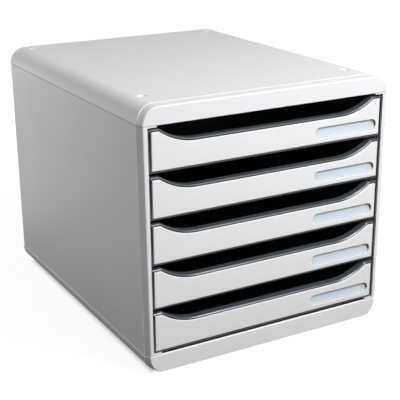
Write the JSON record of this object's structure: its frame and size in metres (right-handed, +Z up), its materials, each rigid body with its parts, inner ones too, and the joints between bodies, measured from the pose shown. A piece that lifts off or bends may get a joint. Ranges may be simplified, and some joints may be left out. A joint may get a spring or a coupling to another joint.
{
  "type": "desktop file drawer",
  "caption": "Free-standing desktop cabinet with rounded top and base shells, holding a stack of pull-out trays whose white fronts dip in a shallow wave and carry a clear label holder.",
  "frame": {"origin": "on the table under the middle of the cabinet's footprint", "axes": "+X to the viewer's right when facing the drawers, +Y from the drawers to the back panel, +Z up; every drawer opens along -Y"},
  "size_m": [0.2868, 0.348, 0.2713],
  "materials": {
    "shell_plastic": "light grey, fine satin",
    "front_plastic": "white, satin",
    "tray_plastic": "dark blue-grey, semi-gloss",
    "clear_plastic": "clear, faintly green at its edges",
    "card_paper": "pale blue card",
    "foot_rubber": "grey, dull"
  },
  "bodies": {
    "cabinet": {"top_cover": "shell_plastic", "left_side_panel": "shell_plastic", "right_side_panel": "shell_plastic", "base": "shell_plastic", "back_panel": "shell_plastic", "foot_front_left": "foot_rubber", "foot_front_right": "foot_rubber", "foot_back_left": "foot_rubber", "foot_back_right": "foot_rubber"},
    "drawer_1": {"drawer_1_tray": "tray_plastic", "drawer_1_front_panel": "front_plastic", "drawer_1_label_window": "clear_plastic", "drawer_1_label_card": "card_paper"},
    "drawer_2": {"drawer_2_tray": "tray_plastic", "drawer_2_front_panel": "front_plastic", "drawer_2_label_window": "clear_plastic", "drawer_2_label_card": "card_paper"},
    "drawer_3": {"drawer_3_tray": "tray_plastic", "drawer_3_front_panel": "front_plastic", "drawer_3_label_window": "clear_plastic", "drawer_3_label_card": "card_paper"},
    "drawer_4": {"drawer_4_tray": "tray_plastic", "drawer_4_front_panel": "front_plastic", "drawer_4_label_window": "clear_plastic", "drawer_4_label_card": "card_paper"},
    "drawer_5": {"drawer_5_tray": "tray_plastic", "drawer_5_front_panel": "front_plastic", "drawer_5_label_window": "clear_plastic", "drawer_5_label_card": "card_paper"}
  },
  "joints": [
    {"name": "drawer_1_slide", "type": "slide", "parent": "cabinet", "child": "drawer_1", "axis": [0, -1, 0], "range_m": [0, 0.275]},
    {"name": "drawer_2_slide", "type": "slide", "parent": "cabinet", "child": "drawer_2", "axis": [0, -1, 0], "range_m": [0, 0.275]},
    {"name": "drawer_3_slide", "type": "slide", "parent": "cabinet", "child": "drawer_3", "axis": [0, -1, 0], "range_m": [0, 0.275]},
    {"name": "drawer_4_slide", "type": "slide", "parent": "cabinet", "child": "drawer_4", "axis": [0, -1, 0], "range_m": [0, 0.275]},
    {"name": "drawer_5_slide", "type": "slide", "parent": "cabinet", "child": "drawer_5", "axis": [0, -1, 0], "range_m": [0, 0.275]}
  ]
}
